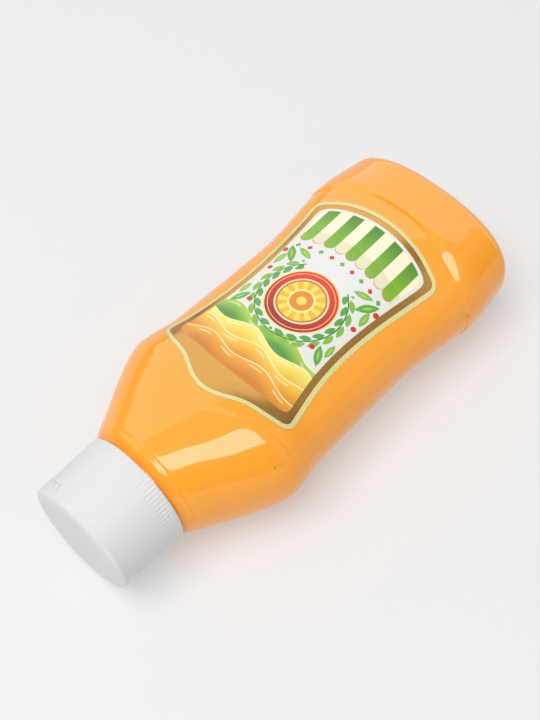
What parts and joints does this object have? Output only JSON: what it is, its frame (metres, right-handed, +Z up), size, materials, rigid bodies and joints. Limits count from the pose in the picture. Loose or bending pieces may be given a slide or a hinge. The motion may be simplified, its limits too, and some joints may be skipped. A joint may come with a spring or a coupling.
{
  "type": "sauce bottle",
  "caption": "Oval plastic squeeze bottle full of cheese sauce, with a waisted label field, round flip-top cap and thumb tab, lying on its back with its label up.",
  "frame": {"origin": "on the floor plane, under the middle of the bottle's overall length and width as it lies on its back", "axes": "+X from the cap to the foot of the bottle, +Y across its width, +Z up out of the front label"},
  "size_m": [0.2036, 0.0888, 0.059],
  "materials": {
    "bottle_plastic": "smooth glossy orange blow-moulded plastic, filled with cheese sauce to its wall",
    "cap_plastic": "satin white moulded plastic",
    "label_film": "glossy printed label film with a gold frame"
  },
  "bodies": {
    "root": {"bottle": "bottle_plastic", "cap": "cap_plastic", "lid": "cap_plastic", "label_front": "label_film", "label_back": "label_film"}
  },
  "joints": []
}
